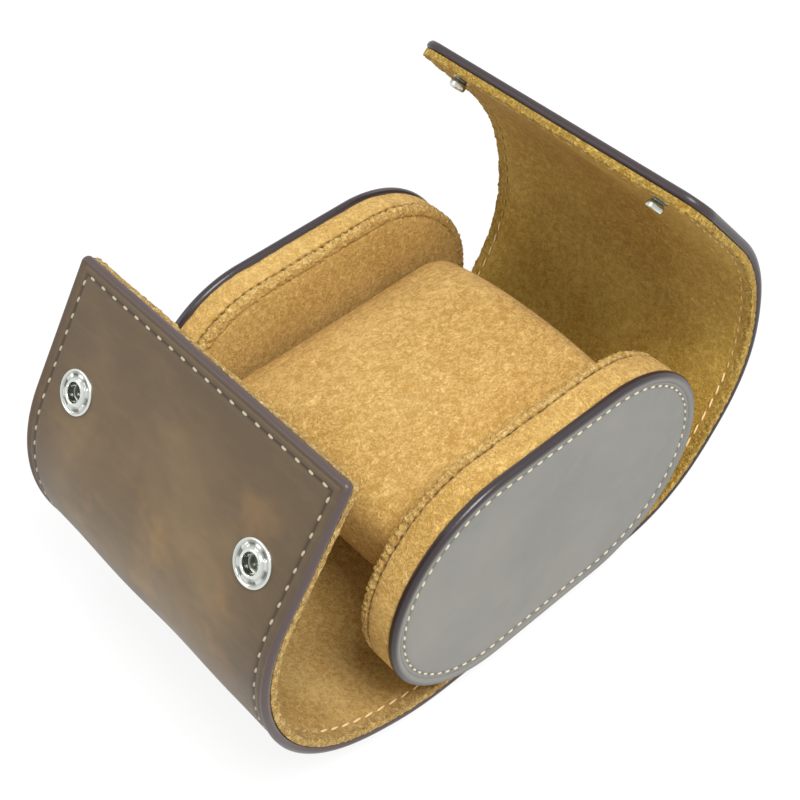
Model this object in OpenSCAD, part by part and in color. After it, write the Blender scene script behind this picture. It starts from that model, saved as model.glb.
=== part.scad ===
// Roll-up travel case for one wrist watch.
//
// A leather, board and suede wrap lies flat under two padded ends and rises
// in front and behind as two curved flaps. The back flap closes over the
// front one and its two studs press into the front flap's two sockets. A
// loose cushion between the ends carries the watch.
//
// X runs along the case from end to end, Y from the front flap to the back
// flap, Z up. The origin is the middle of the base's underside. Every flap is
// drawn as a chain: a list of pieces, each with a length along the middle of
// the wrap and the angle that it turns through.

/* [Case] */
// Width of the case across its two ends
case_w = 92; // [84:1:104]
// Height of the padded ends
pad_h = 65; // [60:0.5:72]
// Straight part of the padded ends' top and bottom
pad_flat = 33.5; // [30:0.5:40]
// Thickness of each padded end
pad_t = 12; // [10:0.5:14]

/* [Wrap] */
// Width of the wrap, whose edges the padded ends stand over
wrap_w = 87; // [80:1:100]
// Thickness of the outer leather
leather_t = 1.4; // [1.2:0.1:1.8]
// Thickness of the stiffening board
board_t = 0.9; // [0.8:0.1:1.4]
// Thickness of the suede lining
lining_t = 1.5; // [1.2:0.1:2]
// Width of the leather turned in round the board
turned_w = 5; // [4:0.5:8]

/* [Front flap] */
// Length and turn of the piece that belongs to the base
front_root = [11.5, 4.5]; // [0:0.5:90]
// Length and turn of the lower piece
front_low = [24, 27.5]; // [0:0.5:90]
// Length and turn of the middle piece
front_mid = [39.5, 57.5]; // [0:0.5:90]
// Length and turn of the upper piece
front_up = [36, 50.5]; // [0:0.5:90]
// Length of the straight loose end
front_end = 33; // [30:0.5:36]
// Radius of its two corners
front_corner_r = 3.5; // [1:0.5:8]
// How far the three folds lie open, in degrees
front_slack = [7, 7, 2]; // [0:0.5:12]
// How far the three folds turn to close, in degrees
front_close = [28.5, 12.5, 13.5]; // [2:0.5:30]

/* [Back flap] */
// Length and turn of the piece that belongs to the base
back_root = [14, 5.5]; // [0:0.5:90]
// Length and turn of the lower piece
back_low = [35.5, 61.5]; // [0:0.5:90]
// Length and turn of the middle piece
back_mid = [38.5, 53]; // [0:0.5:90]
// Length and turn of the upper piece
back_up = [32.5, 37.5]; // [0:0.5:90]
// Length of the straight loose end
back_end = 29; // [27:0.5:32]
// Radius of its two corners
back_corner_r = 7; // [1:0.5:8]
// How far the three folds lie open, in degrees
back_slack = [8, 12, 7]; // [0:0.5:12]
// How far the three folds turn to close, in degrees
back_close = [25, 6, 17]; // [2:0.5:30]

/* [Snaps] */
// Distance of each snap from the middle of the case
snap_x = 30.6; // [24:0.2:34]
// Distance of the sockets from the front flap's loose edge
snap_inset = 27; // [24:0.5:28]
// Outer diameter of a socket
socket_d = 10.4; // [9:0.2:12]
// Diameter of the hole that takes the stud
socket_hole_d = 4.8; // [4.6:0.1:5.4]
// Diameter of the stud's head
stud_d = 4.2; // [3.8:0.1:4.4]
// Height of the stud above the lining
stud_h = 3; // [2.4:0.1:3.2]

/* [Cushion] */
// Length of the cushion between the padded ends
cushion_l = 67; // [60:0.5:68]
// Width of the cushion from front to back
cushion_w = 77; // [66:1:78]
// Height of the cushion at its middle
cushion_h = 29; // [24:1:32]
// Height of the cushion's underside above the ground
cushion_z = 28.6; // [24:0.2:36]
// Radius of the crown along the cushion
crown_r = 77; // [70:1:160]

/* [Hidden] */
$fn = 128;

LEATHER = [0.34, 0.26, 0.20];
SUEDE = [0.76, 0.57, 0.29];
BOARD = [0.55, 0.50, 0.42];
FOAM = [0.90, 0.87, 0.78];
NICKEL = [0.80, 0.80, 0.78];

FRONT = -1;
BACK = 1;
LEFT = -1;
RIGHT = 1;

wrap_t = leather_t + board_t + lining_t;
core_y = pad_flat / 2;
pad_r = pad_h / 2;
pad_z = wrap_t + pad_r;

// Layers of the wrap, as [lowest, highest] distance outward from its middle
lining_n = [-wrap_t / 2, -wrap_t / 2 + lining_t];
board_n = [lining_n[1], lining_n[1] + board_t];
leather_n = [board_n[1], wrap_t / 2];

// Clearance of a nose in its fold, and how far pieces of one layer lap
fold_gap = 0.15;
lap = 0.05;
// Half the width of the board between the turned edges
board_half = wrap_w / 2 - turned_w;

// Snaps
seat_gap = 0.05;
flange_d = 9;
flange_t = 0.45;
eyelet_d = 5.8;
socket_rim_d = 1.4;
socket_plate_t = 0.4;
collar_d = 7.4;
collar_h = 1.1;
lip_t = 0.3;
spring_d = 6;
spring_wire = 0.5;
spring_opening = 50;
neck_in = 0.35;
post_d = 2.2;
post_in = 0.8;
post_l = leather_n[0] + wrap_t / 2 + stud_h - post_in;

// Padded ends
edge_roll_r = 1.4;
face_inset = 0.3;
face_t = 1.2;
pad_board_r = pad_r - 2 * edge_roll_r;
gusset_in = 0.6;
gusset_t = 1.4;
panel_t = 1;
panel_in = 1;
welt_r = 0.9;
welt_depth = pad_t - panel_t - welt_r;

// Cushion
cover_t = 1.2;
bolster_r = 13;
bolster_end_r = 5;
bolster_low_r = 4;

// A flap is [side, chain of pieces, heading step at each fold at rest]. Its
// pieces are the root on the base, the lower, middle and upper piece and the
// straight loose end, so folds lie at the start of pieces 1, 2 and 3.
ROOT = 0;
LOWER = 1;
MIDDLE = 2;
UPPER = 3;
LOOSE = 4;
front_flap = [FRONT, [front_root, front_low, front_mid, front_up, [front_end, 0]], folds(-front_slack)];
back_flap = [BACK, [back_root, back_low, back_mid, back_up, [back_end, 0]], folds(-back_slack)];
front_shut = [FRONT, front_flap[1], folds(front_close - front_slack)];
back_shut = [BACK, back_flap[1], folds(back_close - back_slack)];

// Heading steps of a whole chain from those at its three folds
function folds(steps) = [0, steps[0], steps[1], steps[2], 0];

// Bend radius of a piece along the middle of the wrap
function bend_r(piece) = piece[0] / (piece[1] * PI / 180);

// Frame [along, up, heading] at the end of a piece that starts at frame f
function after(f, piece) =
    piece[1] == 0
    ? [f[0] + piece[0] * cos(f[2]), f[1] + piece[0] * sin(f[2]), f[2]]
    : let (r = bend_r(piece), h = f[2] + piece[1])
      [f[0] + r * (sin(h) - sin(f[2])), f[1] + r * (cos(f[2]) - cos(h)), h];

// Frame at the start of piece k of a flap
function start(flap, k) =
    k == ROOT
    ? [core_y, wrap_t / 2, 0]
    : after(start(flap, k - 1), flap[1][k - 1]) + [0, 0, flap[2][k]];

// Point of a frame at a distance s along it and n outward from it
function point(f, s, n) = [f[0] + s * cos(f[2]) + n * sin(f[2]), f[1] + s * sin(f[2]) - n * cos(f[2])];

// Where the snaps sit along the loose ends: the studs' place follows from the
// sockets' place when the case is shut, so that they meet
socket_s = front_end - snap_inset;
socket_seat = point(start(front_shut, LOOSE), socket_s, wrap_t / 2);
back_loose_shut = start(back_shut, LOOSE);
stud_s = (-socket_seat[0] - back_loose_shut[0]) * cos(back_loose_shut[2])
       + (socket_seat[1] - back_loose_shut[1]) * sin(back_loose_shut[2]);

// --- Wrap ---

// Wedge that opens upwards through the given angle from straight down
module wedge(r, angle) {
    polygon(concat([[0, 0]], [for (a = [0, angle / 2, angle]) r * [sin(a), -cos(a)]]));
}

// Side view of a loose end of length l, with its leather rolled over the edge
module rolled_end(l) {
    translate([-lap, leather_t - wrap_t / 2]) square([l + lap, wrap_t - leather_t]);
    translate([-lap, -wrap_t / 2]) square([l - leather_t + lap, wrap_t]);
    translate([l - leather_t, leather_t - wrap_t / 2]) circle(leather_t);
}

// Outline of one piece between the distances n[0] and n[1] outward
module piece_outline(piece, n) {
    if (piece[1] == 0)
        intersection() {
            rolled_end(piece[0]);
            translate([-lap, -n[1]]) square([piece[0] + lap, n[1] - n[0]]);
        }
    else
        translate([0, bend_r(piece)]) intersection() {
            difference() {
                circle(bend_r(piece) + n[1]);
                circle(bend_r(piece) + n[0]);
            }
            wedge(2 * bend_r(piece), piece[1]);
        }
}

// Round nose of a piece, which sits in the fold where the piece hangs
module nose(n) {
    intersection() {
        circle(d = wrap_t);
        translate([-wrap_t, -n[1]]) square([wrap_t + lap, n[1] - n[0]]);
    }
}

module placed(f) {
    translate([f[0], f[1]]) rotate(f[2]) children();
}

// Outline of a flap's pieces first to last. The first has its nose, and the
// last makes room for the nose of the piece after it.
module flap_outline(flap, n, first, last) {
    difference() {
        union() {
            for (k = [first:last])
                placed(start(flap, k)) piece_outline(flap[1][k], n);
            if (first > ROOT)
                placed(start(flap, first)) nose(n);
        }
        if (last < LOOSE)
            placed(start(flap, last + 1)) circle(d = wrap_t + 2 * fold_gap);
    }
}

// Turns an outline of the YZ plane into a slab from x = a to x = b
module slab(a, b) {
    translate([a, 0, 0]) rotate([90, 0, 90]) linear_extrude(b - a) children();
}

// The slab's two halves at either end of the case
module slab_pair(inner, outer) {
    slab(inner, outer) children();
    slab(-outer, -inner) children();
}

module on_side(side) {
    mirror([0, side == FRONT ? 1 : 0, 0]) children();
}

// Puts children at a distance s along a flap's loose end, on the middle of
// the wrap, with their Z axis pointing out of the leather
module on_loose_end(flap, s) {
    f = start(flap, LOOSE);
    p = point(f, s, 0);
    on_side(flap[0]) translate([0, p[0], p[1]]) rotate([f[2] + 180, 0, 0]) children();
}

// Places children at both snaps of a loose end
module at_snaps(flap, s) {
    for (x = [-snap_x, snap_x])
        on_loose_end(flap, s) translate([x, 0, 0]) children();
}

// What rounds the two corners of a flap's loose end
module corner_cut(flap) {
    corner_r = flap[0] == FRONT ? front_corner_r : back_corner_r;
    block = [2 * corner_r, 2 * corner_r, 4 * wrap_t];
    for (x = [-1, 1])
        on_loose_end(flap, flap[1][LOOSE][0]) translate([x * (wrap_w / 2 - corner_r), -corner_r, 0])
            difference() {
                translate([x * corner_r, corner_r, 0]) cube(block, center = true);
                cylinder(r = corner_r, h = 5 * wrap_t, center = true);
            }
}

// Leather: an outer sheet with its edges turned in round the board
module leather_piece(flap, first, last) {
    on_side(flap[0]) {
        slab(-wrap_w / 2, wrap_w / 2) flap_outline(flap, leather_n, first, last);
        slab_pair(board_half, wrap_w / 2) flap_outline(flap, board_n, first, last);
    }
}

module board_piece(flap, first, last) {
    on_side(flap[0]) slab(-board_half, board_half) flap_outline(flap, board_n, first, last);
}

module lining_piece(flap, first, last) {
    on_side(flap[0]) slab(-wrap_w / 2, wrap_w / 2) flap_outline(flap, lining_n, first, last);
}

// Side view of the stretch at the loose edge where the leather is turned in
module turned_stretch(flap) {
    placed(start(flap, LOOSE)) translate([flap[1][LOOSE][0] - turned_w, -wrap_t])
        square([2 * turned_w, 2 * wrap_t]);
}

// The turned in leather at the loose edge, where the board stops short
module turned_end(flap) {
    on_side(flap[0]) slab(-board_half, board_half) intersection() {
        flap_outline(flap, board_n, LOOSE, LOOSE);
        turned_stretch(flap);
    }
}

// The base's stretch between the two folds, flat under the pads
module base_outline(n) {
    translate([-core_y, wrap_t / 2 - n[1]]) square([pad_flat, n[1] - n[0]]);
    flap_outline(back_flap, n, ROOT, ROOT);
    mirror([1, 0]) flap_outline(front_flap, n, ROOT, ROOT);
}

module base_leather() {
    color(LEATHER) {
        slab(-wrap_w / 2, wrap_w / 2) base_outline(leather_n);
        slab_pair(board_half, wrap_w / 2) base_outline(board_n);
    }
}

module base_board() {
    color(BOARD) slab(-board_half, board_half) base_outline(board_n);
}

module base_lining() {
    color(SUEDE) slab(-wrap_w / 2, wrap_w / 2) base_outline(lining_n);
}

module upper_leather(flap) {
    difference() {
        union() {
            leather_piece(flap, UPPER, LOOSE);
            turned_end(flap);
        }
        corner_cut(flap);
        if (flap[0] == FRONT)
            at_snaps(flap, socket_s) cylinder(d = eyelet_d, h = 4 * wrap_t, center = true);
        else
            at_snaps(flap, stud_s) translate([0, 0, board_n[0]])
                cylinder(d = flange_d + 2 * seat_gap, h = board_t);
    }
}

module upper_board(flap, s) {
    difference() {
        board_piece(flap, UPPER, LOOSE);
        on_side(flap[0]) slab(-wrap_w, wrap_w) turned_stretch(flap);
        at_snaps(flap, s) cylinder(d = flange_d + 2 * seat_gap, h = 4 * wrap_t, center = true);
    }
}

module upper_lining(flap) {
    difference() {
        lining_piece(flap, UPPER, LOOSE);
        corner_cut(flap);
        if (flap[0] == BACK)
            at_snaps(flap, stud_s) cylinder(d = stud_d + 2 * seat_gap, h = 4 * wrap_t, center = true);
    }
}

// --- Snaps. Heights are outward from the middle of the wrap ---

// Upright tube from height a to height b
module tube(d_out, d_in, a, b) {
    translate([0, 0, a]) difference() {
        cylinder(d = d_out, h = b - a);
        translate([0, 0, -1]) cylinder(d = d_in, h = b - a + 2);
    }
}

// Dished female snap with a rolled rim and a raised ring round its hole
module socket() {
    top = wrap_t / 2;
    rim_r = socket_rim_d / 2;
    tube(socket_d - socket_rim_d, eyelet_d, top, top + socket_plate_t);
    translate([0, 0, top]) difference() {
        rotate_extrude() translate([socket_d / 2 - rim_r, rim_r]) circle(rim_r);
        cylinder(d = socket_d - socket_rim_d, h = socket_plate_t);
    }
    tube(collar_d, spring_d + 2 * seat_gap, top + socket_plate_t, top + collar_h);
    tube(collar_d, socket_hole_d, top + collar_h, top + collar_h + lip_t);
}

module snap_sockets() {
    color(NICKEL) at_snaps(front_flap, socket_s) socket();
}

// Open ring of wire inside each socket that grips the stud's neck
module snap_springs() {
    color(NICKEL) at_snaps(front_flap, socket_s)
        translate([0, 0, wrap_t / 2 + socket_plate_t + spring_wire / 2 + seat_gap])
            rotate(spring_opening / 2)
                rotate_extrude(angle = 360 - spring_opening)
                    translate([(spring_d - spring_wire) / 2, 0]) circle(d = spring_wire, $fn = 32);
}

// Tube through the leather with a flange under it, closed over the socket
module socket_eyelets() {
    color(NICKEL) at_snaps(front_flap, socket_s) {
        tube(flange_d, socket_hole_d, board_n[0], board_n[0] + flange_t);
        tube(eyelet_d - 2 * seat_gap, socket_hole_d, board_n[0] + flange_t, wrap_t / 2 + socket_plate_t);
    }
}

// Male snap: flange under the lining, neck and a fuller head
module snap_studs() {
    neck_d = stud_d - 2 * neck_in;
    color(NICKEL) at_snaps(back_flap, stud_s) mirror([0, 0, 1]) difference() {
        union() {
            translate([0, 0, -board_n[0] - flange_t]) cylinder(d = flange_d, h = flange_t);
            translate([0, 0, -board_n[0]]) cylinder(d = neck_d, h = lining_t + stud_h - stud_d / 4);
            translate([0, 0, wrap_t / 2 + stud_h - stud_d / 2]) rotate_extrude() stud_head_outline();
        }
        translate([0, 0, -wrap_t]) cylinder(d = post_d + 2 * seat_gap, h = 4 * wrap_t);
    }
}

// Half outline of the stud's head: a drum with rounded shoulders
module stud_head_outline() {
    h = stud_d / 2;
    r = stud_d / 8;
    square([stud_d / 2 - r, h]);
    translate([0, r]) square([stud_d / 2, h - 2 * r]);
    for (z = [r, h - r])
        translate([stud_d / 2 - r, z]) circle(r);
}

// Rivet from the leather's side that holds each stud
module stud_posts() {
    color(NICKEL) at_snaps(back_flap, stud_s) mirror([0, 0, 1]) {
        translate([0, 0, -leather_n[0]]) cylinder(d = flange_d, h = board_t - flange_t);
        translate([0, 0, -leather_n[0]]) cylinder(d = post_d, h = post_l);
    }
}

// --- Padded ends. side is LEFT or RIGHT; depths run inward from the face ---

module stadium(r) {
    for (y = [-core_y, core_y])
        translate([y, 0]) circle(r);
    translate([-core_y, -r]) square([pad_flat, 2 * r]);
}

// Slab of an outline about the pad's middle between two depths
module pad_slab(side, a, b) {
    near = case_w / 2 - a;
    far = case_w / 2 - b;
    translate([0, 0, pad_z])
        if (side == RIGHT)
            slab(far, near) children();
        else
            slab(-near, -far) children();
}

// Roll of round section that follows a stadium of radius r at one depth
module pad_roll(side, r, depth, roll_r) {
    translate([side * (case_w / 2 - depth), 0, pad_z]) rotate([90, 0, 90]) {
        for (s = [-1, 1]) {
            translate([s * core_y, 0, 0]) rotate(-s * 90)
                rotate_extrude(angle = 180) translate([r, 0]) circle(roll_r);
            translate([-core_y, s * r, 0]) rotate([0, 90, 0]) cylinder(r = roll_r, h = pad_flat);
        }
    }
}

module pad_face(side) {
    pad_slab(side, face_inset, face_inset + face_t) stadium(pad_r - edge_roll_r);
    difference() {
        pad_roll(side, pad_r - edge_roll_r, edge_roll_r, edge_roll_r);
        pad_slab(side, face_inset, face_inset + face_t) stadium(pad_r - edge_roll_r);
        pad_slab(side, face_inset + face_t, 2 * edge_roll_r) stadium(pad_board_r);
    }
}

module pad_board(side) {
    pad_slab(side, face_inset + face_t, 2 * edge_roll_r) stadium(pad_board_r);
}

module pad_gusset(side) {
    pad_slab(side, 2 * edge_roll_r, welt_depth - welt_r) difference() {
        stadium(pad_r - gusset_in);
        stadium(pad_r - gusset_in - gusset_t);
    }
}

module pad_foam(side) {
    pad_slab(side, 2 * edge_roll_r, pad_t - panel_t) stadium(pad_r - gusset_in - gusset_t);
}

module pad_panel(side) {
    pad_slab(side, pad_t - panel_t, pad_t) stadium(pad_r - panel_in);
}

module pad_welt(side) {
    difference() {
        pad_roll(side, pad_r - welt_r, welt_depth, welt_r);
        pad_slab(side, pad_t - panel_t, pad_t) stadium(pad_r - panel_in);
    }
}

// --- Cushion ---

// Rectangle with rounded corners, standing on its lower edge
module rounded_box(w, h, r_top, r_low) {
    for (s = [-1, 1]) {
        translate([s * (w / 2 - r_top), h - r_top]) circle(r_top);
        translate([s * (w / 2 - r_low), r_low]) circle(r_low);
    }
    translate([-w / 2, r_low]) square([w, h - r_top - r_low]);
    translate([-w / 2 + r_top, h / 2]) square([w - 2 * r_top, h / 2]);
    translate([-w / 2 + r_low, 0]) square([w - 2 * r_low, h / 2]);
}

// Bolster inset by t from the cushion's outside, but standing on its base
module bolster(t) {
    w = cushion_w - 2 * t;
    l = cushion_l - 2 * t;
    h = cushion_h - t;
    translate([0, 0, cushion_z]) intersection() {
        slab(-l / 2, l / 2) rounded_box(w, h, bolster_r - t, bolster_low_r);
        translate([0, w / 2, 0]) rotate([90, 0, 0]) linear_extrude(w) intersection() {
            rounded_box(l, h, bolster_end_r - t / 2, bolster_low_r);
            translate([0, h - crown_r]) circle(crown_r);
        }
    }
}

module cushion_band(a, b) {
    translate([-cushion_l, -cushion_w, cushion_z + a]) cube([2 * cushion_l, 2 * cushion_w, b - a]);
}

module cushion_cover() {
    color(SUEDE) difference() {
        bolster(0);
        bolster(cover_t);
        cushion_band(-1, cover_t);
    }
}

module cushion_core() {
    color(FOAM) difference() {
        bolster(cover_t);
        cushion_band(-1, cover_t);
    }
}

module cushion_underside() {
    color(SUEDE) intersection() {
        bolster(0);
        cushion_band(0, cover_t);
    }
}

// --- One module per node ---

module front_lower_leather() {
    color(LEATHER) leather_piece(front_flap, LOWER, LOWER);
}

module front_lower_board() {
    color(BOARD) board_piece(front_flap, LOWER, LOWER);
}

module front_lower_lining() {
    color(SUEDE) lining_piece(front_flap, LOWER, LOWER);
}

module front_middle_leather() {
    color(LEATHER) leather_piece(front_flap, MIDDLE, MIDDLE);
}

module front_middle_board() {
    color(BOARD) board_piece(front_flap, MIDDLE, MIDDLE);
}

module front_middle_lining() {
    color(SUEDE) lining_piece(front_flap, MIDDLE, MIDDLE);
}

module front_upper_leather() {
    color(LEATHER) upper_leather(front_flap);
}

module front_upper_board() {
    color(BOARD) upper_board(front_flap, socket_s);
}

module front_upper_lining() {
    color(SUEDE) upper_lining(front_flap);
}

module back_lower_leather() {
    color(LEATHER) leather_piece(back_flap, LOWER, LOWER);
}

module back_lower_board() {
    color(BOARD) board_piece(back_flap, LOWER, LOWER);
}

module back_lower_lining() {
    color(SUEDE) lining_piece(back_flap, LOWER, LOWER);
}

module back_middle_leather() {
    color(LEATHER) leather_piece(back_flap, MIDDLE, MIDDLE);
}

module back_middle_board() {
    color(BOARD) board_piece(back_flap, MIDDLE, MIDDLE);
}

module back_middle_lining() {
    color(SUEDE) lining_piece(back_flap, MIDDLE, MIDDLE);
}

module back_upper_leather() {
    color(LEATHER) upper_leather(back_flap);
}

module back_upper_board() {
    color(BOARD) upper_board(back_flap, stud_s);
}

module back_upper_lining() {
    color(SUEDE) upper_lining(back_flap);
}

module left_pad_face() {
    color(LEATHER) pad_face(LEFT);
}

module left_pad_board() {
    color(BOARD) pad_board(LEFT);
}

module left_pad_foam() {
    color(FOAM) pad_foam(LEFT);
}

module left_pad_gusset() {
    color(SUEDE) pad_gusset(LEFT);
}

module left_pad_panel() {
    color(SUEDE) pad_panel(LEFT);
}

module left_pad_welt() {
    color(SUEDE) pad_welt(LEFT);
}

module right_pad_face() {
    color(LEATHER) pad_face(RIGHT);
}

module right_pad_board() {
    color(BOARD) pad_board(RIGHT);
}

module right_pad_foam() {
    color(FOAM) pad_foam(RIGHT);
}

module right_pad_gusset() {
    color(SUEDE) pad_gusset(RIGHT);
}

module right_pad_panel() {
    color(SUEDE) pad_panel(RIGHT);
}

module right_pad_welt() {
    color(SUEDE) pad_welt(RIGHT);
}

base_leather();
base_board();
base_lining();
front_lower_leather();
front_lower_board();
front_lower_lining();
front_middle_leather();
front_middle_board();
front_middle_lining();
front_upper_leather();
front_upper_board();
front_upper_lining();
back_lower_leather();
back_lower_board();
back_lower_lining();
back_middle_leather();
back_middle_board();
back_middle_lining();
back_upper_leather();
back_upper_board();
back_upper_lining();
snap_sockets();
snap_springs();
socket_eyelets();
snap_studs();
stud_posts();
left_pad_face();
left_pad_board();
left_pad_foam();
left_pad_gusset();
left_pad_panel();
left_pad_welt();
right_pad_face();
right_pad_board();
right_pad_foam();
right_pad_gusset();
right_pad_panel();
right_pad_welt();
cushion_cover();
cushion_core();
cushion_underside();
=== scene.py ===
"""Looks of a roll-up travel case for one wrist watch.

A leather and suede wrap lies under two padded ends and rises in front and behind as two curved
flaps that bend. The back flap's studs press into the front flap's sockets, and a loose cushion
lies between the ends.

The wrap's sheets and stitches are modelled flat, as they are cut and sewn, and are then bent along
one path for each flap. In the flat, X runs along the wrap from the middle of the base to a flap's
loose edge, Y across it, and Z from the leather towards the suede.
"""

import math
from typing import NamedTuple

import bmesh
import bpy
import numpy as np
from mathutils import Matrix, Vector


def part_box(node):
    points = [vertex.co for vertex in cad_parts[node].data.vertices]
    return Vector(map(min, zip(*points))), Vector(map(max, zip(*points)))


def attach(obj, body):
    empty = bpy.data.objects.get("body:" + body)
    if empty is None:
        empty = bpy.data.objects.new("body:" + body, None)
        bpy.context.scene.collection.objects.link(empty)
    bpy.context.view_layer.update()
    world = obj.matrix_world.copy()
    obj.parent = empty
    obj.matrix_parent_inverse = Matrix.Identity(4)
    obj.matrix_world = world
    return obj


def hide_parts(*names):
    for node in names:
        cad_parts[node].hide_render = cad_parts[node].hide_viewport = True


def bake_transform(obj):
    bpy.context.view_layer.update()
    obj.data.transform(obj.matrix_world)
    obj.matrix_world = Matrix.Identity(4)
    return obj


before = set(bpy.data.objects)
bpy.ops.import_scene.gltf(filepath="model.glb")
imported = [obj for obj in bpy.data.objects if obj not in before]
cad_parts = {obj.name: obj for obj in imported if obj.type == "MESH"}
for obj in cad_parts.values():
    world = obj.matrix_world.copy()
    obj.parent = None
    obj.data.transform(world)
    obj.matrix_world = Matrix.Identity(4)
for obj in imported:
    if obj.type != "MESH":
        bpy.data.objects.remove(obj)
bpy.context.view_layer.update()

bl_info = {
    "name": "Watch Travel Case",
    "version": (1, 0, 0),
    "blender": (4, 5, 0),
    "location": "View3D > Sidebar > Watch Case",
    "description": "Builds the leather, suede and snaps of a roll-up watch case round its frame",
    "category": "Add Mesh",
}

MM = 0.001
NEAR = 0.001 * MM
SNAP_X = 30.6 * MM
SOCKET_INSET = 27 * MM
STUD_INSET = 6.45 * MM
SOCKET_PETALS = 6
LEATHER_RIM = (1.2, 1.5, 1.8, 2.1, 2.4, 2.8, 3.1, 3.4, 3.7, 4.1, 4.9, 6.5)
LINING_RIM = (0.5, 0.9, 1.4, 2.0, 2.6, 3.0, 3.4, 3.8, 4.8, 7)
ROOM_LIGHT = 0.72
FLOOR_GLOW = 0.86


# --- Settings ---


def size(name, default, text):
    """A length property in metres, with its default given in millimetres."""
    return bpy.props.FloatProperty(name=name, default=default * MM, unit="LENGTH", description=text)


def angle(name, default, text):
    """An angle property, with its default given in degrees."""
    return bpy.props.FloatProperty(
        name=name, default=math.radians(default), subtype="ANGLE", description=text)


def colour(name, default, text):
    """A colour property, in linear values."""
    return bpy.props.FloatVectorProperty(
        name=name, default=default, subtype="COLOR", size=3, min=0, max=1, description=text)


class WrapSettings(bpy.types.PropertyGroup):
    width: size("Width", 87, "Width of the wrap across the case")
    thickness: size("Thickness", 3.8, "Thickness of leather, board and suede together")
    lining_t: size("Lining", 1.8, "Thickness of the suede lining")
    front_corner_r: size("Front corners", 1.7, "Radius of the front flap's loose corners")
    back_corner_r: size("Back corners", 7, "Radius of the back flap's loose corners")
    edge_r: size("Edge radius", 1.0, "Radius of the leather where it turns round the edge")
    roll_h: size("Edge roll", 0.24, "How far the turned edge stands above the leather")
    lining_inset: size("Lining inset", 0.3, "Distance of the suede's cut edge from the leather's edge")
    stitch_inset: size("Stitch inset", 3.4, "Distance of the stitches from the edge")
    cut_step: size("Cut spacing", 1.4, "Distance between the cuts that let a sheet bend")


class PadSettings(bpy.types.PropertyGroup):
    span: size("Span", 92, "Width of the case over both padded ends")
    height: size("Height", 65, "Height of a padded end")
    straight: size("Straight", 33.5, "Length of the straight part of its outline")
    stitch_inset: size("Stitch inset", 3.5, "Distance of the face's stitches from its edge")


class StitchSettings(bpy.types.PropertyGroup):
    pitch: size("Pitch", 4.1, "Distance from one of the wrap's stitches to the next")
    face_pitch: size("Face pitch", 3.1, "Distance from one stitch of a padded end to the next")
    cover: bpy.props.FloatProperty(
        name="Cover", default=0.82, subtype="FACTOR", description="Share of the pitch that a stitch covers")
    thread_d: size("Thread", 0.5, "Diameter of the thread")
    lean: angle("Lean", 7, "Angle of a stitch to its row")


class CushionSettings(bpy.types.PropertyGroup):
    inset: size("Inset", 1.2, "How much smaller the cushion starts before it swells")
    voxel: size("Voxel", 2.6, "Size of the mesh cells that the cushion swells with")
    pressure: bpy.props.FloatProperty(name="Pressure", default=4, description="Pressure of the filling")
    swell: size("Swell", 1.5, "The furthest that a point of the cover may move")
    crown: size("Crown", 7.5, "How far the top falls towards the padded ends")
    edge_r: size("Edge radius", 9, "Radius of the long upper edges")
    foot_r: size("Foot radius", 4, "Radius of the long lower edges")


class FinishSettings(bpy.types.PropertyGroup):
    leather: colour("Leather", (0.091, 0.061, 0.034), "Colour of the leather")
    leather_worn: colour("Worn leather", (0.206, 0.141, 0.070), "Colour of its worn patches")
    leather_warm: colour("Pulled-up leather", (0.320, 0.180, 0.064), "Colour where its oil is pulled up")
    leather_edge: colour("Leather edge", (0.078, 0.056, 0.052), "Colour of the turned edges")
    # The back edge colour is the turned-edge colour darkened by painted shade.
    back_edge_shaded: colour("Back edge", (0.042, 0.031, 0.033), "Colour of the back flap's turned edges")
    # The face colours are painted reflection: the grey sheen of the bright floor laid into the padded ends'
    # leather, with lighter grey patches.
    face: colour("Face leather", (0.160, 0.162, 0.152), "Colour of the padded ends' leather")
    face_worn: colour("Worn face", (0.222, 0.210, 0.182), "Colour of its worn patches")
    face_edge: colour("Face rim", (0.030, 0.021, 0.024), "Colour of the padded ends' rolled rim")
    suede: colour("Suede", (0.74, 0.44, 0.105), "Colour of the suede where its nap lies flat")
    suede_dark: colour("Dark suede", (0.34, 0.165, 0.020), "Colour between the suede's fibres")
    suede_light: colour("Light suede", (0.97, 0.71, 0.29), "Colour of the suede's raised fibres")
    # The suede seam colour is painted shade for suede down in a seam.
    suede_seam: colour("Suede seam", (0.19, 0.090, 0.018), "Colour of the suede down in a seam")
    # The lining tints are painted shade on the one suede: the back flap's is darker and less blue, painting
    # bounced warm light.
    front_lining: colour("Front lining", (0.80, 0.80, 0.78), "Tint of the front flap's suede")
    back_lining: colour("Back lining", (0.75, 0.74, 0.46), "Tint of the back flap's suede")
    thread: colour("Thread", (0.70, 0.64, 0.47), "Colour of the sewing thread on leather")
    lining_thread: colour("Lining thread", (0.92, 0.70, 0.38), "Colour of the sewing thread on suede")
    nickel: colour("Nickel", (0.80, 0.83, 0.78), "Colour of the snaps")
    # The dulled nickel is painted shade and painted dark reflection, laid where the snaps are hollow.
    nickel_shade: colour("Dulled nickel", (0.10, 0.11, 0.09), "Colour of the snaps where they are hollow")


class StageSettings(bpy.types.PropertyGroup):
    lens: bpy.props.FloatProperty(name="Lens", default=63.9, description="Focal length in millimetres")
    azimuth: angle("Azimuth", 49.48, "Direction that the camera looks in, from +Y")
    elevation: angle("Elevation", 47.65, "Height of the camera as an angle")
    roll: angle("Roll", -2.03, "Turn of the camera about its own axis")
    place: bpy.props.FloatVectorProperty(
        name="Place", default=(0.17227, -0.15291, 0.29705), subtype="TRANSLATION",
        description="Place of the camera")
    floor_r: size("Floor", 1500, "Radius of the floor")


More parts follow.
